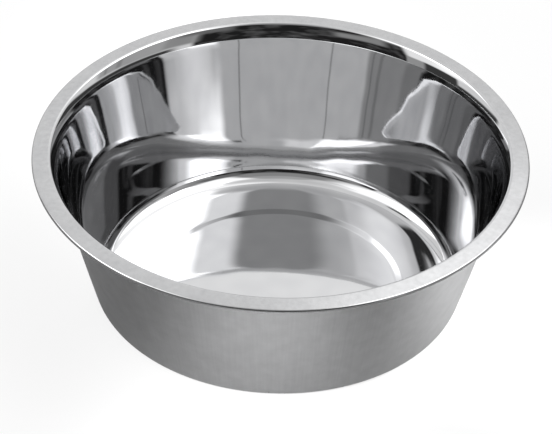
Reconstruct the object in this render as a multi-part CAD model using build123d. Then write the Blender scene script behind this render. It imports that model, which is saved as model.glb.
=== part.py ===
from build123d import *
import math
import os

# A feeding bowl pressed from one disc of stainless sheet. Millimetres, +Z up, the origin on the surface
# that the bowl stands on, under the middle of the base.

# Overall sizes
RIM_DIAMETER = 250.0
RIM_EDGE_HEIGHT = 82.2
SHEET = 0.6

# Side wall: narrows towards the base, and stands a little steeper near the mouth, so it bulges very slightly
WALL_TILT_LOW = 16.2
WALL_TILT_HIGH = 14.7
WALL_BEND = 2000.0

# Base: the floor turns up in a wide bend first and in a tighter one above it
FLOOR_BEND = 20.0
BASE_SLOPE = 18.0
FOOT_HEIGHT = 3.3
FOOT_BEND = 9.6

# Floor: a disc pressed up in the middle, so that the bowl stands on a ring and not on its centre
STEP_RADIUS = 62.5
STEP_RUN = 4.4
STEP_RISE = 0.93
STEP_BEND = 8.0

# Mouth: the wall flares, then bends over a tight lip into a flange that falls away to the edge
LIP_CORNER_RADIUS = 116.0
FLARE_TILT = 37.0
FLARE_LENGTH = 5.5
FLARE_BEND = 20.0
LIP_BEND = 1.8
FLANGE_FALL = 7.6

# Hem: the raw edge is folded under the flange, and its flat underside seats in a feeding stand
HEM_HEIGHT = 2.4
HEM_BEND = 1.15
HEM_LENGTH = 6.0


def wet_side():
    """The section's upper line, from the middle of the floor up the wall and round the hem."""
    rim_radius = RIM_DIAMETER / 2
    flange_drop = (rim_radius - LIP_CORNER_RADIUS) * math.tan(math.radians(FLANGE_FALL))
    lip_corner_height = RIM_EDGE_HEIGHT + flange_drop
    flare_radius = LIP_CORNER_RADIUS - FLARE_LENGTH * math.sin(math.radians(FLARE_TILT))
    flare_height = lip_corner_height - FLARE_LENGTH * math.cos(math.radians(FLARE_TILT))
    middle_height = (flare_height + SHEET) / 2
    middle_radius = flare_radius - (flare_height - middle_height) * math.tan(math.radians(WALL_TILT_HIGH))
    foot_radius = middle_radius - (middle_height - FOOT_HEIGHT) * math.tan(math.radians(WALL_TILT_LOW))
    floor_radius = foot_radius - (FOOT_HEIGHT - SHEET) / math.tan(math.radians(BASE_SLOPE))
    seat_height = RIM_EDGE_HEIGHT - HEM_HEIGHT

    corners_and_bends = [
        ((STEP_RADIUS - STEP_RUN / 2, SHEET + STEP_RISE), STEP_BEND),
        ((STEP_RADIUS + STEP_RUN / 2, SHEET), STEP_BEND),
        ((floor_radius, SHEET), FLOOR_BEND),
        ((foot_radius, FOOT_HEIGHT), FOOT_BEND),
        ((middle_radius, middle_height), WALL_BEND),
        ((flare_radius, flare_height), FLARE_BEND),
        ((LIP_CORNER_RADIUS, lip_corner_height), LIP_BEND),
        ((rim_radius, RIM_EDGE_HEIGHT), HEM_BEND),
        ((rim_radius, seat_height), HEM_BEND),
    ]
    start = (0, SHEET + STEP_RISE)
    end = (rim_radius - HEM_LENGTH, seat_height)
    points = [start, *[corner for corner, bend in corners_and_bends], end]
    bends = [bend for corner, bend in corners_and_bends]
    return FilletPolyline(*points, radius=bends)


def sheet_section():
    """The cut edge of the sheet: the upper line and its copy one sheet thickness below, closed at both ends."""
    upper = Wire(wet_side().edges())
    outline = upper.offset_2d(SHEET, kind=Kind.ARC, side=Side.RIGHT, closed=True)
    return Plane.XZ * Face(outline)


def bowl():
    """The section turned once round the vertical axis."""
    return revolve(sheet_section(), axis=Axis.Z, revolution_arc=360)


os.makedirs("parts", exist_ok=True)
solid = bowl().solid()
export_step(solid, "parts/bowl.step")
size = solid.bounding_box().size
print(f"bowl: {size.X:.1f} x {size.Y:.1f} x {size.Z:.1f} mm, {solid.volume / 1000:.1f} cm3 of steel, valid {solid.is_valid}")
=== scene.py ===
# %% [markdown]
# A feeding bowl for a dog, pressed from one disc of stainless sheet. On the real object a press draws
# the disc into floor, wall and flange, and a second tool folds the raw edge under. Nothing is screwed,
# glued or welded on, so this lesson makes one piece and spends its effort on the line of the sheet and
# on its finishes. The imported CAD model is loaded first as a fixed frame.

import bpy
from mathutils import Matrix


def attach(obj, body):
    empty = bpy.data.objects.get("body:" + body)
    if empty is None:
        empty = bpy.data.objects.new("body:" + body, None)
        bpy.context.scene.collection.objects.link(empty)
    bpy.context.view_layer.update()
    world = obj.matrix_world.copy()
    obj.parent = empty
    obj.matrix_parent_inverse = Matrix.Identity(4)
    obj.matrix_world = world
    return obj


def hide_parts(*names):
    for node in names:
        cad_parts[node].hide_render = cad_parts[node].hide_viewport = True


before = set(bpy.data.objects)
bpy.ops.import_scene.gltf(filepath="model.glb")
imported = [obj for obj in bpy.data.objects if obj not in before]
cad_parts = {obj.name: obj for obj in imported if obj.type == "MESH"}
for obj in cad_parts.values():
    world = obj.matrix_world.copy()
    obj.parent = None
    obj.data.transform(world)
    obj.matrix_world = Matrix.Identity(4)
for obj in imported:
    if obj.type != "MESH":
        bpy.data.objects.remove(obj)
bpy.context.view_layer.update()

# %% [markdown]
# Every bowl of this kind is the same all the way round, so one cut edge of the sheet says everything
# about its shape. The line could be drawn by hand as a curve. Here it is worked out from sizes, as a
# toolmaker would give them, so that it lies exactly on the CAD. They are the part's own sizes, in
# millimetres and radians.

# %% Sizes of the pressing
import math

MM = 0.001
RIM_RADIUS = 125.0
RIM_EDGE_HEIGHT = 82.2
SHEET = 0.6
WALL_TILT_LOW, WALL_TILT_HIGH, WALL_BEND = math.radians(16.2), math.radians(14.7), 2000.0
FLOOR_BEND, BASE_SLOPE = 20.0, math.radians(18.0)
FOOT_HEIGHT, FOOT_BEND = 3.3, 9.6
STEP_RADIUS, STEP_RUN, STEP_RISE, STEP_BEND = 62.5, 4.4, 0.93, 8.0
LIP_CORNER_RADIUS, LIP_BEND = 116.0, 1.8
FLARE_TILT, FLARE_LENGTH, FLARE_BEND = math.radians(37.0), 5.5, 20.0
FLANGE_FALL = math.radians(7.6)
HEM_HEIGHT, HEM_BEND, HEM_LENGTH = 2.4, 1.15, 6.0
print(f"a rim {2 * RIM_RADIUS:.0f} mm across, in sheet of {SHEET} mm")

# %% [markdown]
# The corners follow from the sizes, from the mouth down: the rim places the lip, the lip the flare, the
# flare the wall and the wall the floor. Each could be typed in as a point, but then one new size would
# mean many new points. Every corner has its distance from the axis, its height and the radius of its
# bend.

# %% Corners of the section
lip_height = RIM_EDGE_HEIGHT + (RIM_RADIUS - LIP_CORNER_RADIUS) * math.tan(FLANGE_FALL)
flare_radius = LIP_CORNER_RADIUS - FLARE_LENGTH * math.sin(FLARE_TILT)
flare_height = lip_height - FLARE_LENGTH * math.cos(FLARE_TILT)
middle_height = (flare_height + SHEET) / 2
middle_radius = flare_radius - (flare_height - middle_height) * math.tan(WALL_TILT_HIGH)
foot_radius = middle_radius - (middle_height - FOOT_HEIGHT) * math.tan(WALL_TILT_LOW)
floor_radius = foot_radius - (FOOT_HEIGHT - SHEET) / math.tan(BASE_SLOPE)
seat_height = RIM_EDGE_HEIGHT - HEM_HEIGHT

corners = [
    (0, SHEET + STEP_RISE, 0),
    (STEP_RADIUS - STEP_RUN / 2, SHEET + STEP_RISE, STEP_BEND),
    (STEP_RADIUS + STEP_RUN / 2, SHEET, STEP_BEND),
    (floor_radius, SHEET, FLOOR_BEND),
    (foot_radius, FOOT_HEIGHT, FOOT_BEND),
    (middle_radius, middle_height, WALL_BEND),
    (flare_radius, flare_height, FLARE_BEND),
    (LIP_CORNER_RADIUS, lip_height, LIP_BEND),
    (RIM_RADIUS, RIM_EDGE_HEIGHT, HEM_BEND),
    (RIM_RADIUS, seat_height, HEM_BEND),
    (RIM_RADIUS - HEM_LENGTH, seat_height, 0),
]
print(f"{len(corners)} corners; the wall meets the floor {foot_radius:.1f} mm from the middle")

# %% [markdown]
# A press never leaves a sharp corner: the sheet goes round each one in an arc. An arc is found from the
# two legs of its corner, and Vector.slerp walks along it. The straight runs get points every few
# millimetres too, because later the sheet is rippled a little, and a run without points could not bend.

# %% Round the corners of the section
from mathutils import Vector

RUN_STEP = 3.0
BEND_STEP = math.radians(3.0)
FEWEST_STEPS = 3


def rounded(before, corner, after, radius):
    """The arc that rounds one corner, from the leg towards before to the leg towards after."""
    leg_in = (before - corner).normalized()
    leg_out = (after - corner).normalized()
    half = leg_in.angle(leg_out) / 2
    centre = corner + (leg_in + leg_out).normalized() * radius / math.sin(half)
    start = corner + leg_in * radius / math.tan(half) - centre
    end = corner + leg_out * radius / math.tan(half) - centre
    turn = math.pi - 2 * half
    count = max(FEWEST_STEPS, math.ceil(turn / BEND_STEP), math.ceil(turn * radius / RUN_STEP))
    return [centre + start.slerp(end, k / count).normalized() * radius for k in range(count + 1)]


def run(a, b):
    """Points between a and b, without the ends."""
    count = math.ceil((b - a).length / RUN_STEP)
    return [a.lerp(b, k / count) for k in range(1, count)]


points = [Vector((r, z)) for r, z, bend in corners]
wet_line = [points[0]]
for before, corner, after, (r, z, bend) in zip(points, points[1:], points[2:], corners[1:]):
    arc = rounded(before, corner, after, bend)
    wet_line += run(wet_line[-1], arc[0]) + arc
wet_line += run(wet_line[-1], points[-1]) + [points[-1]]
print(f"{len(wet_line)} points along the wet side of the sheet")

# %% [markdown]
# Turning a section about an axis is what the Screw modifier does when it climbs nothing. Once it is
# applied the wet side of the bowl is an ordinary mesh, one face thick, with the points at the axis
# merged into one.

# %% Turn the wet side about the axis
import bpy

TURN_STEPS = 256
MERGE_WITHIN = 1e-6

line_mesh = bpy.data.meshes.new("pressed_sheet")
line_mesh.from_pydata([(p.x * MM, 0, p.y * MM) for p in wet_line],
                      [(k, k + 1) for k in range(len(wet_line) - 1)], [])
sheet = bpy.data.objects.new("pressed_sheet", line_mesh)
bpy.context.scene.collection.objects.link(sheet)
bpy.context.view_layer.objects.active = sheet

turn = sheet.modifiers.new("turn", "SCREW")
turn.steps = turn.render_steps = TURN_STEPS
turn.use_merge_vertices = True
turn.merge_threshold = MERGE_WITHIN
bpy.ops.object.modifier_apply(modifier="turn")

floor_face = min(sheet.data.polygons, key=lambda f: f.center.xy.length)
if floor_face.normal.z < 0:
    sheet.data.flip_normals()
print(f"wet side: {len(sheet.data.vertices)} points, {len(sheet.data.polygons)} faces")

# %% [markdown]
# Pressed sheet is never perfectly true. The steel flows unevenly into the tool, and the polishing wheel
# leaves soft hollows, a few hundredths of a millimetre deep. They are too small to see, but a mirror
# shows its slope and not its height, so they make every reflected edge wander. Moving the points by
# smooth noise gives that. The ring that the bowl stands on and the rim stay true, so the overall size
# does not change.

# %% Ripple the sheet
from mathutils import noise

HOLLOW, HOLLOW_SIZE = 0.030, 24.0
DRAW_RIPPLE, DRAW_WAVES, DRAW_HEIGHT = 0.014, 5.5, 60.0
FLOOR_TRUE_FROM, FLOOR_RIPPLED_TO = STEP_RADIUS - 5, STEP_RADIUS - 16
FOOT_TRUE_TO, WALL_RIPPLED_FROM = 3, 16
RIM_TRUE_FROM, WALL_RIPPLED_TO = 119, 113


def ramp(value, low, high):
    """0 at low, 1 at high, smooth between; high may be the lower number."""
    t = min(1, max(0, (value - low) / (high - low)))
    return t * t * (3 - 2 * t)


def ripple(r, angle, z):
    """How far the sheet stands off its true form, in millimetres."""
    spot = Vector((r * math.cos(angle), r * math.sin(angle), z))
    around = Vector((math.cos(angle) * DRAW_WAVES, math.sin(angle) * DRAW_WAVES, z / DRAW_HEIGHT))
    on_floor = ramp(r, FLOOR_TRUE_FROM, FLOOR_RIPPLED_TO)
    on_wall = ramp(z, FOOT_TRUE_TO, WALL_RIPPLED_FROM) * ramp(r, RIM_TRUE_FROM, WALL_RIPPLED_TO)
    hollows = HOLLOW * noise.noise(spot / HOLLOW_SIZE)
    return hollows * max(on_floor, on_wall) + DRAW_RIPPLE * noise.noise(around) * on_wall


tallest = 0
moves = []
for v in sheet.data.vertices:
    move = ripple(v.co.xy.length / MM, math.atan2(v.co.y, v.co.x), v.co.z / MM)
    moves.append(v.co + v.normal * move * MM)
    tallest = max(tallest, abs(move))
for v, place in zip(sheet.data.vertices, moves):
    v.co = place
print(f"the ripples are up to {tallest:.3f} mm high")

# %% [markdown]
# The sheet has one thickness everywhere, so the outside is the wet side pushed back by that much.
# Solidify does it in one step and closes the raw edge inside the fold. Its material offset gives the
# new outside its own finish: slots 0 and 1 are the inside and the flange, and 2 and 3 are what lies
# behind them.

# %% Give the sheet its thickness
FLANGE_FROM = LIP_CORNER_RADIUS + 0.3
INSIDE_SLOT, FLANGE_SLOT, SLOTS_TO_BACK = 0, 1, 2

flange_faces = 0
for face in sheet.data.polygons:
    face.use_smooth = True
    on_flange = face.center.xy.length > FLANGE_FROM * MM
    face.material_index = FLANGE_SLOT if on_flange else INSIDE_SLOT
    flange_faces += on_flange

thick = sheet.modifiers.new("thickness", "SOLIDIFY")
thick.thickness = SHEET * MM
thick.offset = -1
thick.use_even_offset = True
thick.material_offset = SLOTS_TO_BACK
thick.material_offset_rim = SLOTS_TO_BACK
print(f"{flange_faces} faces of the wet side are flange")

# %% [markdown]
# Finishes and light are both drawn with nodes, and many of those nodes are plain sums. Adding them by
# hand takes four lines each. A few helpers do it in one, so that a chain of nodes reads like the sum
# that it is.

# %% Helpers for nodes
def feed(tree, socket, value):
    """Gives a socket a plain value, or links another node's output to it."""
    if isinstance(value, bpy.types.NodeSocket):
        tree.links.new(value, socket)
    else:
        socket.default_value = value


def figure(tree, operation, *inputs, kind="ShaderNodeMath", result=0):
    """A Math node, or a Vector Math node; each input is a value or another node's output."""
    node = tree.nodes.new(kind)
    node.operation = operation
    for socket, value in zip(node.inputs, inputs):
        feed(tree, socket, value)
    return node.outputs[result]


def remap(tree, value, from_span, to_span=(0, 1), edge="LINEAR"):
    """Moves a value from one span of numbers to another, and holds it inside the second one."""
    node = tree.nodes.new("ShaderNodeMapRange")
    node.interpolation_type = edge
    node.inputs["From Min"].default_value, node.inputs["From Max"].default_value = from_span
    node.inputs["To Min"].default_value, node.inputs["To Max"].default_value = to_span
    tree.links.new(value, node.inputs["Value"])
    return node.outputs["Result"]


def mixed(tree, share, first, second, kind="RGBA", blend="MIX"):
    """Two colours, or with kind FLOAT two numbers, mixed by a share."""
    node = tree.nodes.new("ShaderNodeMix")
    node.data_type = kind
    node.blend_type = blend
    feed(tree, node.inputs["Factor"], share)
    feed(tree, node.inputs["A"], first)
    feed(tree, node.inputs["B"], second)
    return node.outputs["Result"]


print("helpers: feed, figure, remap, mixed")

# %% [markdown]
# The wheel leaves rings on the inside, and drawing leaves upright streaks on the outside. Both are
# noise, stretched one way. Stretching needs a coordinate that goes round the bowl and one that goes
# along its section. An unwrapped UV map could give them, but would leave a seam. The direction from the
# axis gives the first without one, and distance from the axis plus height gives the second.

# %% Coordinates of a turned form
NOISE_SPAN = (0.3, 0.7)


def spot_on_bowl(tree):
    """Where a point lies on the bowl, and how high, in metres."""
    spot = tree.nodes.new("ShaderNodeTexCoord").outputs["Object"]
    parts = tree.nodes.new("ShaderNodeSeparateXYZ")
    tree.links.new(spot, parts.inputs[0])
    return spot, parts.outputs["Z"]


def turned_noise(tree, around, along, detail=3.0):
    """Noise with so many cells per radian round the axis and so many per metre along the section."""
    spot, height = spot_on_bowl(tree)
    vectors = "ShaderNodeVectorMath"
    flat = figure(tree, "MULTIPLY", spot, (1, 1, 0), kind=vectors)
    distance = figure(tree, "LENGTH", flat, kind=vectors, result="Value")
    heading = figure(tree, "NORMALIZE", flat, kind=vectors)
    travel = tree.nodes.new("ShaderNodeCombineXYZ")
    tree.links.new(figure(tree, "ADD", distance, height), travel.inputs["Z"])
    joined = figure(tree, "ADD", heading, travel.outputs[0], kind=vectors)
    grain = tree.nodes.new("ShaderNodeTexNoise")
    grain.inputs["Scale"].default_value = 1
    grain.inputs["Detail"].default_value = detail
    stretched = figure(tree, "MULTIPLY", joined, (around, around, along), kind=vectors)
    tree.links.new(stretched, grain.inputs["Vector"])
    return grain.outputs["Fac"]


def spread(tree, value, low, high):
    """A noise value, which is seldom outside its usual span, spread over low to high."""
    return remap(tree, value, NOISE_SPAN, (low, high))


print(f"noise is taken to run from {NOISE_SPAN[0]} to {NOISE_SPAN[1]}")

# %% [markdown]
# All of it is one bare steel, which sends back about six tenths of the light, a touch less red than
# blue. A finish is made of a grain, which sets how the roughness wanders, and of two sizes of bump: the
# fine grain itself, and the soft waves that the polishing wheel leaves, which are wide enough to bend
# what the steel mirrors.

# %% Bare steel
POLISHED_TINTS = (0.595, 0.597, 0.606, 1), (0.625, 0.627, 0.634, 1)
SATIN_TINTS = (0.605, 0.607, 0.616, 1), (0.665, 0.667, 0.674, 1)


def bumped(tree, height, depth, under=None):
    """A bump of the given depth in millimetres, on top of another bump."""
    bump = tree.nodes.new("ShaderNodeBump")
    bump.inputs["Distance"].default_value = depth * MM
    tree.links.new(height, bump.inputs["Height"])
    if under:
        tree.links.new(under, bump.inputs["Normal"])
    return bump.outputs["Normal"]


def steel(name, grain, smooth, dull, grain_depth, wave_length, wave_depth, streaked=False):
    """Bare steel, smooth to dull along its grain, tinted by waves or streaks; gives its roughness too."""
    material = bpy.data.materials.new(name)
    material.use_nodes = True
    tree = material.node_tree
    shader = tree.nodes["Principled BSDF"]
    shader.inputs["Metallic"].default_value = 1
    lines = turned_noise(tree, *grain)
    spot, height = spot_on_bowl(tree)
    waves = tree.nodes.new("ShaderNodeTexNoise")
    waves.inputs["Scale"].default_value = 1 / (wave_length * MM)
    waves.inputs["Detail"].default_value = 0
    tree.links.new(spot, waves.inputs["Vector"])
    tinted_by = lines if streaked else waves.outputs["Fac"]
    tints = SATIN_TINTS if streaked else POLISHED_TINTS
    tree.links.new(mixed(tree, spread(tree, tinted_by, 0, 1), *tints), shader.inputs["Base Color"])
    roughness = spread(tree, lines, smooth, dull)
    tree.links.new(roughness, shader.inputs["Roughness"])
    under = bumped(tree, waves.outputs["Fac"], wave_depth)
    tree.links.new(bumped(tree, lines, grain_depth, under), shader.inputs["Normal"])
    print(f"{name}: roughness {smooth} to {dull}, waves {wave_length} mm long")
    return material, roughness


print(f"polished steel sends back {POLISHED_TINTS[0][1]:.0%} to {POLISHED_TINTS[1][1]:.0%} of the light")

# %% [markdown]
# The inside was polished on a wheel until it mirrors. A perfect mirror looks like a drawing, so the
# grain runs in fine rings, and waves about a centimetre long make the mirrored edges wander.

# %% Polished inside
polished_inside, _ = steel("polished_inside", grain=(1.5, 900), smooth=0.015, dull=0.04,
                           grain_depth=0.0002, wave_length=11, wave_depth=0.016)

# %% [markdown]
# Washing and stacking leave small marks that darken the steel a little. They could be drawn one by one,
# but there are too many. Noise with several sizes of detail gives them all at once, and multiplies the
# colour that is there. The flange is handled and wiped more than the rest, so its polish is a shade
# duller too.

# %% Scuffed flange
SCUFF_DETAIL = 7


def scuff(material, cells, least, most):
    """Marks of so many cells per radian and per metre; they leave least to most of the colour."""
    tree = material.node_tree
    colour = tree.nodes["Principled BSDF"].inputs["Base Color"]
    marks = spread(tree, turned_noise(tree, *cells, SCUFF_DETAIL), least, most)
    tree.links.new(mixed(tree, 1, colour.links[0].from_socket, marks, blend="MULTIPLY"), colour)
    print(f"{material.name}: the scuffs leave {least:.0%} to {most:.0%} of its colour")


polished_flange, _ = steel("polished_flange", grain=(3, 1500), smooth=0.08, dull=0.16,
                           grain_depth=0.0003, wave_length=14, wave_depth=0.004)
scuff(polished_flange, cells=(45, 400), least=0.87, most=0.96)

# %% [markdown]
# The outside keeps the satin of the rolled sheet, drawn out into faint upright streaks where the steel
# slid over the tool, and scuffed a little all over. The grain is therefore fine round the bowl and long
# up the wall, the other way about from the rings of the inside.

# %% Satin outside
satin_outside, satin_roughness = steel("satin_outside", grain=(90, 24), smooth=0.28, dull=0.44,
                                       grain_depth=0.004, wave_length=30, wave_depth=0.01, streaked=True)
scuff(satin_outside, cells=(13, 130), least=0.90, most=1)

# %% [markdown]
# The lowest part of the outside is rubbed on every floor that the bowl is pushed over. There the satin
# is worn smoother, in patches, from the ring that the bowl stands on to a few millimetres up the wall.
# A second material would show a line where it starts, so the wear fades in with height and takes a
# share off the roughness.

# %% Rubbed foot
RUBBED_TO = 7.0
RUBBED_SHARE = 0.35
RUBBED_PATCHES = (8, 60)

tree = satin_outside.node_tree
spot, height = spot_on_bowl(tree)
low = remap(tree, height, (RUBBED_TO * MM, 0), edge="SMOOTHSTEP")
patches = spread(tree, turned_noise(tree, *RUBBED_PATCHES), 0, RUBBED_SHARE)
kept = figure(tree, "SUBTRACT", 1, figure(tree, "MULTIPLY", low, patches))
worn = figure(tree, "MULTIPLY", satin_roughness, kept)
tree.links.new(worn, tree.nodes["Principled BSDF"].inputs["Roughness"])
print(f"satin outside: rubbed up to {RUBBED_TO:.0f} mm above the floor")

# %% [markdown]
# The finishes go into the four slots, the thickness is made, and the piece is told what it stands for:
# it rides on the bowl's only body and replaces the plain CAD solid.

# %% Dress the sheet
for material in (polished_inside, polished_flange, satin_outside, satin_outside):
    sheet.data.materials.append(material)
bpy.ops.object.modifier_apply(modifier="thickness")
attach(sheet, "root")
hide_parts("bowl")
print(f"sheet: {len(sheet.data.polygons)} faces in {len(sheet.data.materials)} slots")

# %% [markdown]
# The camera stands well back with a long lens, so the two sides of the rim look alike. It looks down at
# 37 degrees, which the rim's ellipse gives: its height over its width is the sine of that angle. It
# leans by a degree and a half, as the rim does in the photograph. A Track To constraint could aim it,
# but would not let it lean.

# %% Camera
from mathutils import Matrix

PICTURE_WIDTH = 552
FOCAL_PIXELS = 5500
SENSOR_WIDTH = 36
LOOK_DOWN = math.radians(37.06)
LEAN = math.radians(1.525)
STAND_BACK = 2.7825
AIM = Vector((-0.0016, 0, 0.0446))

camera = bpy.data.objects.new("camera", bpy.data.cameras.new("camera"))
camera.data.sensor_width = SENSOR_WIDTH
camera.data.lens = FOCAL_PIXELS * SENSOR_WIDTH / PICTURE_WIDTH
right = Vector((1, 0, 0))
up = Vector((0, math.sin(LOOK_DOWN), math.cos(LOOK_DOWN)))
back = Vector((0, -math.cos(LOOK_DOWN), math.sin(LOOK_DOWN)))
facing = Matrix((right, up, back)).transposed().to_4x4()
camera.matrix_world = Matrix.Translation(AIM + STAND_BACK * back) @ facing @ Matrix.Rotation(LEAN, 4, "Z")
bpy.context.scene.collection.objects.link(camera)
bpy.context.scene.camera = camera
print(f"camera: {camera.data.lens:.0f} mm lens, {STAND_BACK:.2f} m back")

# %% [markdown]
# A mirror has no look of its own: it shows the room. Polished ware is photographed in a tent of white
# cloth with a dark opening for the camera and a lamp behind the cloth on either side. Cards and lamps
# could stand round the bowl, but the world can be that tent, painted by direction. It needs to know
# which way a ray goes, as a bearing from straight behind the bowl (positive to the right) and a height
# above the floor.

# %% Directions in the tent
tent = bpy.data.worlds.new("light_tent")
bpy.context.scene.world = tent
tent.use_nodes = True
tree = tent.node_tree
tree.nodes.clear()

ray = tree.nodes.new("ShaderNodeTexCoord").outputs["Generated"]
towards = tree.nodes.new("ShaderNodeSeparateXYZ")
tree.links.new(ray, towards.inputs[0])
ray_bearing = figure(tree, "ARCTAN2", towards.outputs["X"], towards.outputs["Y"])
ray_height = figure(tree, "ARCSINE", towards.outputs["Z"])
print("the tent knows the bearing and the height of each ray")

# %% [markdown]
# The room behind the camera's opening is dark but not empty. What stands there does not matter, so it
# is noise: dim shapes that no one could name, with black between them.

# %% Room behind the opening
ROOM_SHAPES = 5.0
ROOM_DETAIL = 2
ROOM_PICK = 2.0
ROOM_SPAN = (0.48, 0.70)
ROOM_DARK_TO_DIM = (0.02, 0.14)

room = tree.nodes.new("ShaderNodeTexNoise")
room.noise_dimensions = "4D"
room.inputs["W"].default_value = ROOM_PICK
room.inputs["Scale"].default_value = ROOM_SHAPES
room.inputs["Detail"].default_value = ROOM_DETAIL
tree.links.new(ray, room.inputs["Vector"])
dim_room = remap(tree, room.outputs["Fac"], ROOM_SPAN, ROOM_DARK_TO_DIM)
print(f"the room is {ROOM_DARK_TO_DIM[0]} to {ROOM_DARK_TO_DIM[1]} bright")

# %% [markdown]
# Each panel has a bearing, half a width and a softness of its sides, then a height, half a tallness and
# a softness of its top and bottom, all in degrees, and last a brightness. Later panels hang in front of
# earlier ones.

# %% Panels of the tent
CLOTH = 0.95
PANELS = {
    "top of the tent": ((0, 185, 10), (90, 13, 14), 0.80),
    "cloth behind the camera": ((180, 36, 20), (70, 12, 14), 0.53),
    "cloth above the opening": ((180, 42, 24), (52, 12, 8), 0.36),
    "opening for the camera": ((-171, 53, 4), (8, 34, 8), dim_room),
    "room past the left edge": ((-142, 13, 8), (27, 6, 6), 0.34),
    "room past the right edge": ((118, 20, 8), (28, 17, 8), 0.38),
    "above the right edge": ((140, 14, 8), (39, 8, 6), 0.20),
    "cloth left of the opening": ((-113, 6, 2), (4, 14, 6), 0.42),
    "low in the left corner": ((-99, 10, 3), (2, 16.5, 3), 0.06),
    "low on the left": ((-74, 16, 4), (-2, 9.5, 4), 0.06),
    "low on the right": ((76, 50, 10), (0, 9, 4), 0.06),
    "upper back cloth": ((30, 34, 40), (41, 8, 8), 1.2),
    "glow of the left lamp": ((-94, 24, 6), (45, 27, 4), 1.2),
    "middle of that glow": ((-88, 12, 16), (44, 25, 6), 1.6),
    "glow over the left edge": ((-100, 25, 40), (48, 14, 8), 1.9),
    "bottom of the left lamp": ((-75, 13, 8), (38, 14, 5), 2.7),
    "left lamp": ((-88, 17, 14), (43, 9, 8), 4.8),
    "gap beside the left lamp": ((-55.5, 6, 3), (56, 4, 3), 0.05),
    "glow of the right lamp": ((50, 45, 16), (57, 17.5, 12), 1.5),
    "glow past the right lamp": ((118, 25, 14), (62, 13, 10), 1.7),
    "right lamp": ((80, 32, 10), (58, 15, 6), 3.4),
    "bottom of the right lamp": ((67, 19, 12), (42, 6, 4), 2.7),
    "strip under the right lamp": ((77, 15, 4), (31, 4.5, 3), 0.62),
    "right cloth away from its lamp": ((101, 19, 5), (23, 12, 6), 0.50),
    "first fold of that cloth": ((87, 0.8, 1.6), (23, 10, 6), 0.34),
    "second fold of that cloth": ((95, 1.6, 2.4), (23, 10, 6), 0.36),
    "left seam": ((-42.5, 0.7, 1.4), (25, 30, 4), 0.45),
    "right seam": ((46, 0.7, 1.4), (20, 14, 4), 0.5),
}
print(f"light tent: {len(PANELS)} panels on cloth of brightness {CLOTH}")

# %% [markdown]
# A ray belongs to a panel as far as its bearing and its height lie within the panel's soft edges. So
# each panel is mixed over the ones before it by those two shares, multiplied. Bearings wrap round, as
# on a compass.

# %% Paint the panels
def within(angle, half, softness):
    """1 where an angle is less than half, 0 where it is more, with an edge of the given softness."""
    span = math.radians(half + softness / 2), math.radians(half - softness / 2)
    return remap(tent.node_tree, angle, span, edge="SMOOTHSTEP")


level = CLOTH
for (bearing, half_width, side_edge), (height, half_height, top_edge), glow in PANELS.values():
    turned = figure(tree, "SUBTRACT", ray_bearing, math.radians(bearing))
    sideways = figure(tree, "ABSOLUTE", figure(tree, "WRAP", turned, math.pi, -math.pi))
    upwards = figure(tree, "ABSOLUTE", figure(tree, "SUBTRACT", ray_height, math.radians(height)))
    in_width = within(sideways, half_width, side_edge)
    in_height = within(upwards, half_height, top_edge)
    level = mixed(tree, figure(tree, "MULTIPLY", in_width, in_height), level, glow, kind="FLOAT")
print(f"the tent is painted with {len(tree.nodes)} nodes")

# %% [markdown]
# The panels light the bowl and are what it mirrors. Rays straight from the camera see plain white
# instead, which Light Path can tell apart.

# %% Hang the tent
WHITE = (1, 1, 1, 1)

cloth = tree.nodes.new("ShaderNodeBackground")
cloth.inputs["Color"].default_value = WHITE
tree.links.new(level, cloth.inputs["Strength"])
white = tree.nodes.new("ShaderNodeBackground")
white.inputs["Color"].default_value = WHITE
path = tree.nodes.new("ShaderNodeLightPath")
seen = tree.nodes.new("ShaderNodeMixShader")
tree.links.new(path.outputs["Is Camera Ray"], seen.inputs[0])
tree.links.new(cloth.outputs[0], seen.inputs[1])
tree.links.new(white.outputs[0], seen.inputs[2])
sky = tree.nodes.new("ShaderNodeOutputWorld")
tree.links.new(seen.outputs[0], sky.inputs["Surface"])
print("the tent hangs all round the bowl; the camera looks past it")

# %% [markdown]
# At its left and right ends the wall mirrors itself, and that image mirrors itself again, in ever
# narrower arcs. Cycles follows a ray through four mirrors unless it is told to go further, and leaves
# black where it stops.

# %% Let the wall mirror itself
MIRRORINGS = 12

bpy.context.scene.cycles.glossy_bounces = MIRRORINGS
print(f"rays are followed through {MIRRORINGS} mirrors")

# %% [markdown]
# The satin outside leans out over the floor, so what it mirrors, in a blur, is the floor close by.
# Three spot lamps each lay a soft pool of light there, in front, to the right and behind, and the left
# side stays in shade. A pool has a bearing in degrees, a distance from the axis in metres, a width of
# its cone in degrees, and watts. Glossy rays do not see the lamps themselves: the steel already has the
# lamps of the tent to mirror.

# %% Pools of light on the floor
POOLS = {
    "front_pool": (184, 0.145, 9, 170),
    "right_pool": (102, 0.15, 8, 280),
    "back_pool": (350, 0.15, 12, 130),
}
LAMP_HEIGHT = math.radians(45)
LAMP_DISTANCE = 1.2
LAMP_RADIUS = 0.04

for name, (bearing, reach, cone, watts) in POOLS.items():
    bearing = math.radians(bearing)
    outward = Vector((math.sin(bearing), math.cos(bearing), 0))
    upward = outward * math.cos(LAMP_HEIGHT) + Vector((0, 0, math.sin(LAMP_HEIGHT)))
    lamp = bpy.data.objects.new(name, bpy.data.lights.new(name, "SPOT"))
    lamp.data.energy = watts
    lamp.data.spot_size = math.radians(cone)
    lamp.data.spot_blend = 1
    lamp.data.shadow_soft_size = LAMP_RADIUS
    lamp.location = outward * reach + upward * LAMP_DISTANCE
    lamp.rotation_euler = upward.to_track_quat("Z", "Y").to_euler()
    lamp.visible_glossy = False
    bpy.context.scene.collection.objects.link(lamp)
    print(f"{name}: {watts} W, aimed {reach / MM:.0f} mm from the axis")

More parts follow.
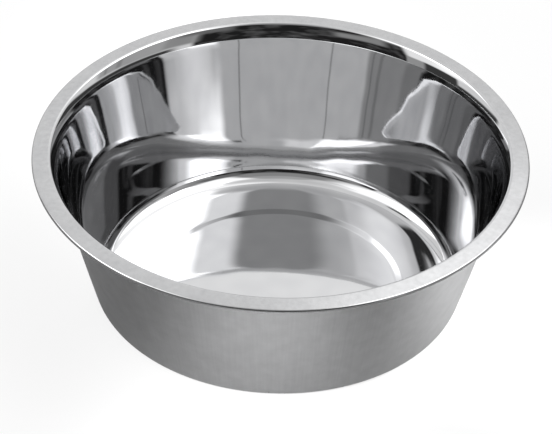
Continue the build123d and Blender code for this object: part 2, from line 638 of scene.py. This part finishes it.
# %% [markdown]
# The floor is a plain pale sheet, big enough to fill every view, and a hair below the bowl so that the
# two never share a surface.

# %% Floor
FLOOR_HALF = 4.0
FLOOR_GAP = 0.0002

floor_mesh = bpy.data.meshes.new("floor")
floor_corners = [(x * FLOOR_HALF, y * FLOOR_HALF, 0) for x, y in ((-1, -1), (1, -1), (1, 1), (-1, 1))]
floor_mesh.from_pydata(floor_corners, [], [(0, 1, 2, 3)])
floor = bpy.data.objects.new("floor", floor_mesh)
floor.location.z = -FLOOR_GAP
bpy.context.scene.collection.objects.link(floor)
print(f"floor: {2 * FLOOR_HALF:.0f} m square")

# %% [markdown]
# Most of what the camera sees of the floor is its own white, so the picture has a white ground, and the
# rest is lit, so the bowl still stands in its own soft shadow. Photographers lay grey card beside shiny
# ware, or its sides would vanish into the white. Here the floor does it: steel sees it toned down.

# %% Pale floor
FLOOR_PALE = 0.8
CARD_GREY = 0.3
WHITE_TO_CAMERA = 0.82
WHITE_TO_STEEL = 0.05

pale = bpy.data.materials.new("pale_floor")
pale.use_nodes = True
tree = pale.node_tree
tree.nodes.clear()
path = tree.nodes.new("ShaderNodeLightPath")
lit = tree.nodes.new("ShaderNodeBsdfDiffuse")
toned = figure(tree, "MULTIPLY", path.outputs["Is Glossy Ray"], FLOOR_PALE * (CARD_GREY - 1))
tree.links.new(figure(tree, "ADD", toned, FLOOR_PALE), lit.inputs["Color"])
own = tree.nodes.new("ShaderNodeEmission")
own.inputs["Strength"].default_value = 1
to_steel = figure(tree, "MULTIPLY", path.outputs["Is Glossy Ray"], WHITE_TO_STEEL)
white_share = figure(tree, "MULTIPLY_ADD", path.outputs["Is Camera Ray"], WHITE_TO_CAMERA, to_steel)
both = tree.nodes.new("ShaderNodeMixShader")
tree.links.new(white_share, both.inputs[0])
tree.links.new(lit.outputs[0], both.inputs[1])
tree.links.new(own.outputs[0], both.inputs[2])
surface = tree.nodes.new("ShaderNodeOutputMaterial")
tree.links.new(both.outputs[0], surface.inputs["Surface"])
floor_mesh.materials.append(pale)
print(f"pale floor: {WHITE_TO_CAMERA:.0%} its own white to the camera, {WHITE_TO_STEEL:.0%} to the steel")

# %% [markdown]
# Last, the picture uses the Standard view transform.

bpy.context.scene.view_settings.view_transform = "Standard"
